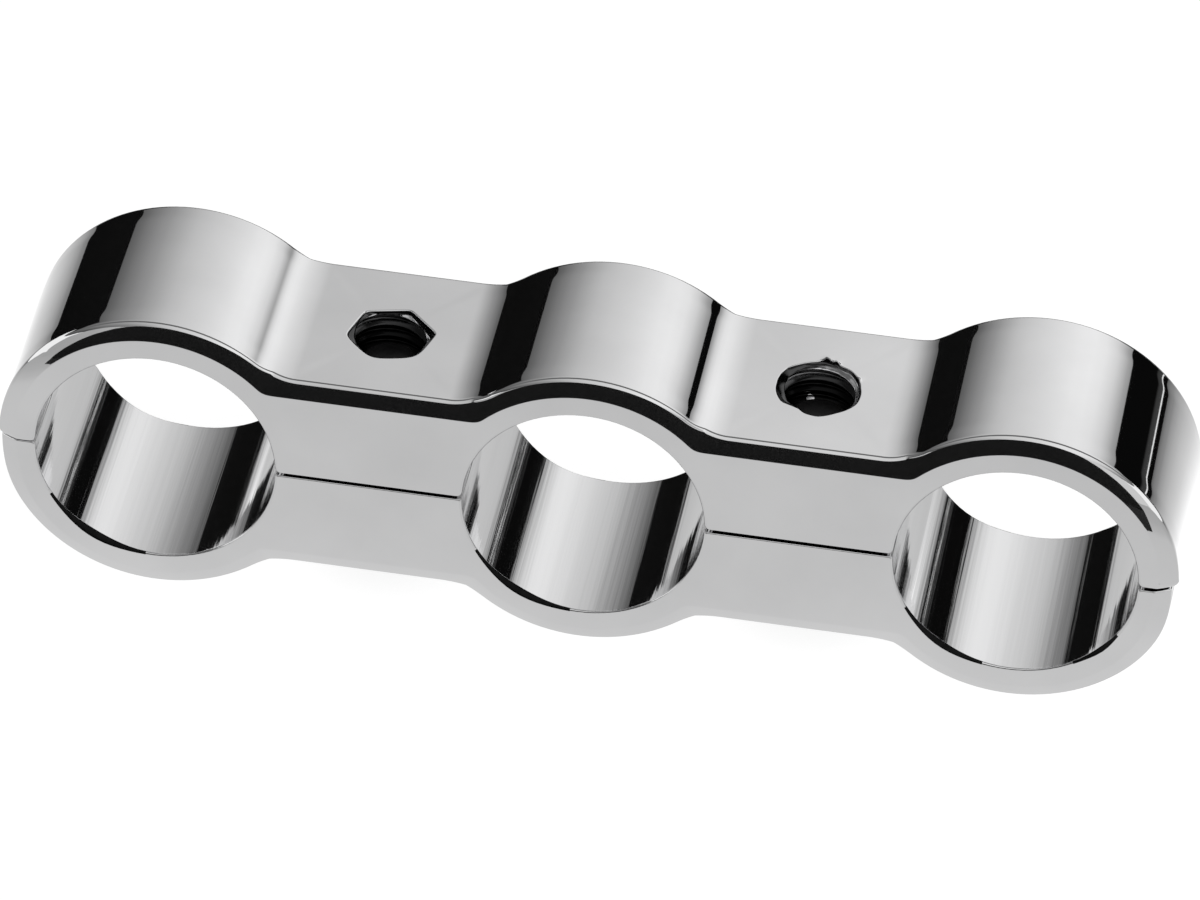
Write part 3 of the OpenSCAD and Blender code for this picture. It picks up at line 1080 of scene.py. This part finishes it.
def screw_rings(x_of_screw, first_crest):
    """Rings from the middle of the tip, down the thread, round the head and up into the socket.

    A ring's radius is the core plus the ridge, the head less its flutes, or the hexagon. The ridge
    of the screw is what the ridge of the hole leaves, less a little play. A radius is one number where
    the ring is round, and one for each angle elsewhere.
    """
    rings = [(POINT, TIP), (0.9, TIP), (1.55, TIP), (1.60, TIP - 0.01)]
    for depth in np.linspace(0.04, TIP - HEAD_TOP - 0.35, THREAD_RINGS):
        valley = 1 - ridge(screw_angle, TIP - depth, first_crest)
        crest = np.clip((valley - PLAY) / (1 - PLAY), 0, 1)
        chamfer = 1.62 + depth * 1.1
        rings.append((np.minimum(CORE_R + CREST_RISE * crest, chamfer), TIP - depth))
    rings += [(CORE_R, HEAD_TOP + 0.28), (2.02, HEAD_TOP + 0.06)]
    rings += [(radius, BEARING) for radius in (2.10, 3.0, 3.78)]
    flute = 0.5 + 0.5 * np.cos(FLUTES * screw_angle)
    rings += [(3.86, BEARING - 0.02), (3.93 - 0.02 * flute, HEAD_TOP - 0.12)]
    rings += [(HEAD_R - FLUTE_DEPTH * flute, z) for z in np.linspace(HEAD_TOP - 0.3, HEAD_LOW + 0.6, 8)]
    rings += [(HEAD_R, HEAD_LOW + 0.42), (3.93, HEAD_LOW + 0.36), (3.62, HEAD_LOW + 0.05)]
    rings += [(radius, HEAD_LOW) for radius in (3.56, 3.4, 2.48)]
    socket = hexagon(screw_angle, SOCKET_FLATS / np.cos(np.pi / 6))
    rings += [(2.42, HEAD_LOW + 0.01), (socket + 0.02, HEAD_LOW + 0.13)]
    rings += [(socket, HEAD_LOW + up) for up in (0.2, 0.7, 1.4, 2.3, 2.36)]
    rings += [(socket * 0.97, HEAD_LOW + 2.4), (socket * 0.6, HEAD_LOW + 2.55), (POINT, HEAD_LOW + 2.95)]
    radii = np.array([np.broadcast_to(radius, screw_angle.shape) for radius, _ in rings])
    heights = np.repeat([[height] for _, height in rings], SCREW_COLUMNS, axis=1)
    across, along = radii * np.cos(screw_angle), radii * np.sin(screw_angle)
    return np.stack([x_of_screw + across, along, heights], axis=2)


def screw_piece(name, x_of_screw, first_crest):
    """A screw from its rings. The rings at the tip and in the socket are so small that they merge."""
    rings = screw_rings(x_of_screw, first_crest)
    faces = tube_faces(len(rings), SCREW_COLUMNS).reshape(-1, 4).tolist()
    return closed_mesh(name, rings.reshape(-1, 3), faces, [0] * len(faces), [oxide])


for side, x_of_screw in (("left", -screw_x), ("right", screw_x)):
    screw = screw_piece(f"{side}_screw_steel", x_of_screw, FIRST_CREST[side])
    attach(screw, f"{side}_screw")
    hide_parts(f"{side}_screw")

# %% [markdown]
# ## The studio
#
# A mirror has no look of its own. What the picture shows is a soft box overhead, brightest a little to
# the right, a black flag on either side, a light wall in front with a low dark shape before it, and a
# pale table. Each can be found by following a line of sight from the camera to the metal and on to
# where it lands. The flags are near, because their dark stripes sit higher on the ring that is closer
# to them.
#
# The cards aren't seen by the camera. The table and the background are plain white for it, and the
# table keeps the shadow of the bar.

# %% Flat stage pieces


def stage_card(name, corners, finish, seen_by_camera=False):
    """A flat card with any number of corners, in millimetres, that is part of the stage."""
    mesh = bpy.data.meshes.new(name)
    mesh.from_pydata((np.array(corners, float) * MM).tolist(), [], [tuple(range(len(corners)))])
    mesh.materials.append(finish)
    made = bpy.data.objects.new(name, mesh)
    bpy.context.scene.collection.objects.link(made)
    made.visible_camera = seen_by_camera
    return made


def reflected_only(made):
    """Let a stage piece show in the metal without a shadow or any effect on the table."""
    made.visible_diffuse = False
    made.visible_shadow = False


def glow(name, axis, stops, half_width):
    """A finish that only gives light, by the distance along one axis of the object's own space."""
    finish, add, link, shader = new_finish(name)
    nodes = finish.node_tree.nodes
    place = add("ShaderNodeSeparateXYZ", {"Vector": add("ShaderNodeTexCoord").outputs["Object"]})
    level = by_length(add, place.outputs[axis], -half_width, half_width, stops)
    light = add("ShaderNodeEmission", {"Color": level})
    nodes.remove(shader)
    link(light.outputs["Emission"], nodes["Material Output"].inputs["Surface"])
    return finish


SOFT_BOX_HEIGHT = 143
BOX_HALF_WIDTH = 320
BOX_FRONT, BOX_BACK = -420, 620
box_light = glow("soft_box_light", "X", [
    (-320, 0.05), (-256, 0.09), (-196, 0.155), (-150, 0.235), (-110, 0.33), (-80, 0.44), (-50, 0.57),
    (-20, 0.66), (5, 0.72), (40, 0.81), (70, 0.89), (100, 0.92), (130, 0.88), (170, 0.72), (225, 0.40),
    (300, 0.17)], BOX_HALF_WIDTH)


def overhead(name, x_from, x_to, y_from, y_to, height, finish):
    """A four-cornered card level with the table."""
    corners = ((x_from, y_from), (x_to, y_from), (x_to, y_to), (x_from, y_to))
    stage_card(name, [(x, y, height) for x, y in corners], finish)


overhead("soft_box", -BOX_HALF_WIDTH, BOX_HALF_WIDTH, BOX_FRONT, BOX_BACK, SOFT_BOX_HEIGHT, box_light)

# %% [markdown]
# The flags are black card: a hair above black, because no card is perfectly black. The right one has
# a light strip low on it, which shows as one thin line low on the right ring.
#
# The flags begin behind the bar. The walls look past their front edges, and the rounded edges look in
# front of them, into light. That is why a light line runs along the bevel right through the black
# stripes. The bevel itself is black because of a dark shape in front, low and near, highest in its
# middle: from the left ring the light beside it can be seen, and from the other rings it can't.
#
# Across the soft box runs a dim join: in the picture no wall shows it, but every rounded edge does, as the
# thin dark line that sets the edge off from the wall. A black end at the left and back of the box, hidden
# from the camera like the cards, finishes the stage, and a dark sheet on the table before the bar is painted
# shade of the table there, seen only in the metal.

# %% The flags, the front and the join
BLACK, DARK = 0.006, 0.02
TABLE = -ring_r - 0.02
FLAG_FRONT, FLAG_BACK = 100, 560
DARK_SHAPE_AT = -105
DARK_SHAPE = [(-120, -6), (-112, 8), (-103, 20), (-92, 33), (-76, 46), (-58, 55), (-30, 60),
              (40, 60), (60, 50), (75, 37), (88, 23), (97, 10), (103, 0), (107, -7)]


def black_card(name, grey):
    """A finish of dull black card."""
    finish, _, _, shader = new_finish(name)
    shader.inputs["Base Color"].default_value = (grey, grey, grey, 1)
    shader.inputs["Roughness"].default_value = 0.9
    shader.inputs["Specular IOR Level"].default_value = 0.1
    return finish


card = black_card("black_card", BLACK)
dark_wall = black_card("dark_wall", DARK)
right_light = glow("right_flag_light", "Z", [
    (-130, 0.003), (6.2, 0.003), (6.8, 0.9), (10.0, 0.9), (10.8, 0.05), (24, 0.04), (30, 0.003)], 130)
front_light = glow("front_wall_light", "X", [
    (-420, 0.39), (-250, 0.41), (-150, 0.55), (100, 0.68), (420, 0.66)], 420)
join_light = glow("join_light", "X", [(-320, 0.13), (320, 0.16)], BOX_HALF_WIDTH)


def side_flag(name, x, top, finish):
    """A card that stands on the table along Y, from behind the bar to the back."""
    corners = ((FLAG_FRONT, TABLE), (FLAG_BACK, TABLE), (FLAG_BACK, top), (FLAG_FRONT, top))
    stage_card(name, [(x, y, z) for y, z in corners], finish)


def front_card(name, y, top, finish):
    """A card that stands on the table along X. top is its upper edge: pairs of x and height."""
    corners = top + [(top[-1][0], TABLE), (top[0][0], TABLE)]
    reflected_only(stage_card(name, [(x, y, z) for x, z in corners], finish))


side_flag("left_flag", -150, 85, card)
side_flag("right_flag", 217, 121, right_light)
front_card("dark_front", DARK_SHAPE_AT, DARK_SHAPE, dark_wall)
front_card("light_wall", -330, [(-420, SOFT_BOX_HEIGHT), (420, SOFT_BOX_HEIGHT)], front_light)
front_card("far_flag", 590, [(-400, 110), (400, 110)], card)
overhead("join", -BOX_HALF_WIDTH, BOX_HALF_WIDTH, -26, 56, SOFT_BOX_HEIGHT - 1, join_light)
overhead("box_end", -BOX_HALF_WIDTH, -232, FLAG_FRONT, BOX_BACK, SOFT_BOX_HEIGHT - 1.5, card)
# Painted shade: a dark sheet on the table in front of the bar, seen only in the metal.
painted_floor_shade = [(-94, -72), (60, -43), (107, DARK_SHAPE_AT), (-120, DARK_SHAPE_AT)]
reflected_only(stage_card("painted_floor_shade", [(x, y, TABLE + 0.2) for x, y in painted_floor_shade], dark_wall))

# %% [markdown]
# The table is pale and diffuse. Seen by the camera it is lifted to white, and only the share of its
# light that the bar holds off is missing: that is the shadow. Seen in the metal it falls off with the
# distance from the bar, and it is brightest beside the two ends, as the picture shows in the flanks of
# the outer rings. The distance is taken from a rectangle as large as the bar: how far a point lies
# outside it in X and in Y, as the two sides of a right angle.

# %% The table and the white surroundings
FALL_OFF = 400
BESIDE_BAR = [(0, 1.15), (11, 1.15), (13, 1.05), (16, 0.93), (20, 0.82), (25, 0.72), (31, 0.65), (40, 0.58),
              (52, 0.50), (75, 0.40), (120, 0.27), (200, 0.20), (260, 0.15)]
BEFORE_BAR = [(0, 0.66), (6, 0.62), (12, 0.60), (40, 0.57),
              (52, 0.50), (75, 0.45), (120, 0.43), (200, 0.42), (260, 0.40)]


def table_finish():
    """Plain for the light in the scene, glowing by the distance from the bar in the metal, and lifted
    to white for the camera."""
    finish, add, link, shader = new_finish("pale_table")
    nodes = finish.node_tree.nodes
    path = add("ShaderNodeLightPath")
    place = add("ShaderNodeTexCoord").outputs["Object"]
    folded = add("ShaderNodeVectorMath", {0: place}, operation="ABSOLUTE").outputs[0]
    outside = add("ShaderNodeVectorMath", {0: folded, 1: (35 * MM, 6 * MM, 1)}, operation="SUBTRACT")
    clipped = add("ShaderNodeVectorMath", {0: outside.outputs[0], 1: (0, 0, 0)}, operation="MAXIMUM")
    distance = add("ShaderNodeVectorMath", {0: clipped.outputs[0]}, operation="LENGTH").outputs["Value"]
    beside = by_length(add, distance, 0, FALL_OFF, BESIDE_BAR)
    before = by_length(add, distance, 0, FALL_OFF, BEFORE_BAR)
    axes = add("ShaderNodeSeparateXYZ", {"Vector": place})
    width = add("ShaderNodeMath", {0: axes.outputs["X"]}, operation="ABSOLUTE").outputs[0]
    past_end = add("ShaderNodeMapRange", {"Value": width, "From Min": 35 * MM, "From Max": 37 * MM})
    behind = add("ShaderNodeMapRange", {"Value": axes.outputs["Y"], "From Min": 3 * MM, "From Max": 6 * MM})
    corner = add("ShaderNodeMath", {0: past_end.outputs["Result"], 1: behind.outputs["Result"]},
                 operation="MULTIPLY")
    level = add("ShaderNodeMix", {0: corner.outputs[0], MIX_A: before, MIX_B: beside}, data_type="RGBA")
    in_metal = add("ShaderNodeEmission", {"Color": level.outputs[MIX_RESULT]})
    plain = add("ShaderNodeBsdfDiffuse", {"Color": (0.8, 0.8, 0.8, 1)})
    part = add("ShaderNodeBsdfDiffuse", {"Color": (0.42, 0.42, 0.42, 1)})
    lift = add("ShaderNodeEmission", {"Color": (1, 1, 1, 1), "Strength": 0.86})
    white = add("ShaderNodeAddShader", {0: part.outputs["BSDF"], 1: lift.outputs["Emission"]})
    metal_or_plain = add("ShaderNodeMixShader", {0: path.outputs["Is Glossy Ray"], 1: plain.outputs["BSDF"],
                                                 2: in_metal.outputs["Emission"]})
    seen = add("ShaderNodeMath", {0: path.outputs["Is Camera Ray"], 1: path.outputs["Is Transmission Ray"]},
               operation="MAXIMUM")
    final = add("ShaderNodeMixShader", {0: seen.outputs[0], 1: metal_or_plain.outputs["Shader"],
                                        2: white.outputs["Shader"]})
    nodes.remove(shader)
    link(final.outputs["Shader"], nodes["Material Output"].inputs["Surface"])
    return finish


stage_card("table", [(-900, -900, TABLE), (900, -900, TABLE), (900, 900, TABLE), (-900, 900, TABLE)],
           table_finish(), seen_by_camera=True)


def white_world():
    """White for the camera and in reflections, and a plain soft level for the light on the table."""
    world = bpy.data.worlds.new("white_surroundings")
    world.use_nodes = True
    nodes, links = world.node_tree.nodes, world.node_tree.links
    path = nodes.new("ShaderNodeLightPath")
    either = nodes.new("ShaderNodeMath")
    either.operation = "MAXIMUM"
    links.new(path.outputs["Is Camera Ray"], either.inputs[0])
    links.new(path.outputs["Is Glossy Ray"], either.inputs[1])
    seen = nodes.new("ShaderNodeMath")
    seen.operation = "MAXIMUM"
    links.new(either.outputs[0], seen.inputs[0])
    links.new(path.outputs["Is Transmission Ray"], seen.inputs[1])
    colour = nodes.new("ShaderNodeMix")
    colour.data_type = "RGBA"
    links.new(seen.outputs[0], colour.inputs[0])
    colour.inputs[MIX_A].default_value = (0.7, 0.7, 0.7, 1)
    colour.inputs[MIX_B].default_value = (1, 1, 1, 1)
    links.new(colour.outputs[MIX_RESULT], nodes["Background"].inputs["Color"])
    bpy.context.scene.world = world


white_world()
bpy.context.scene.view_settings.view_transform = "Standard"
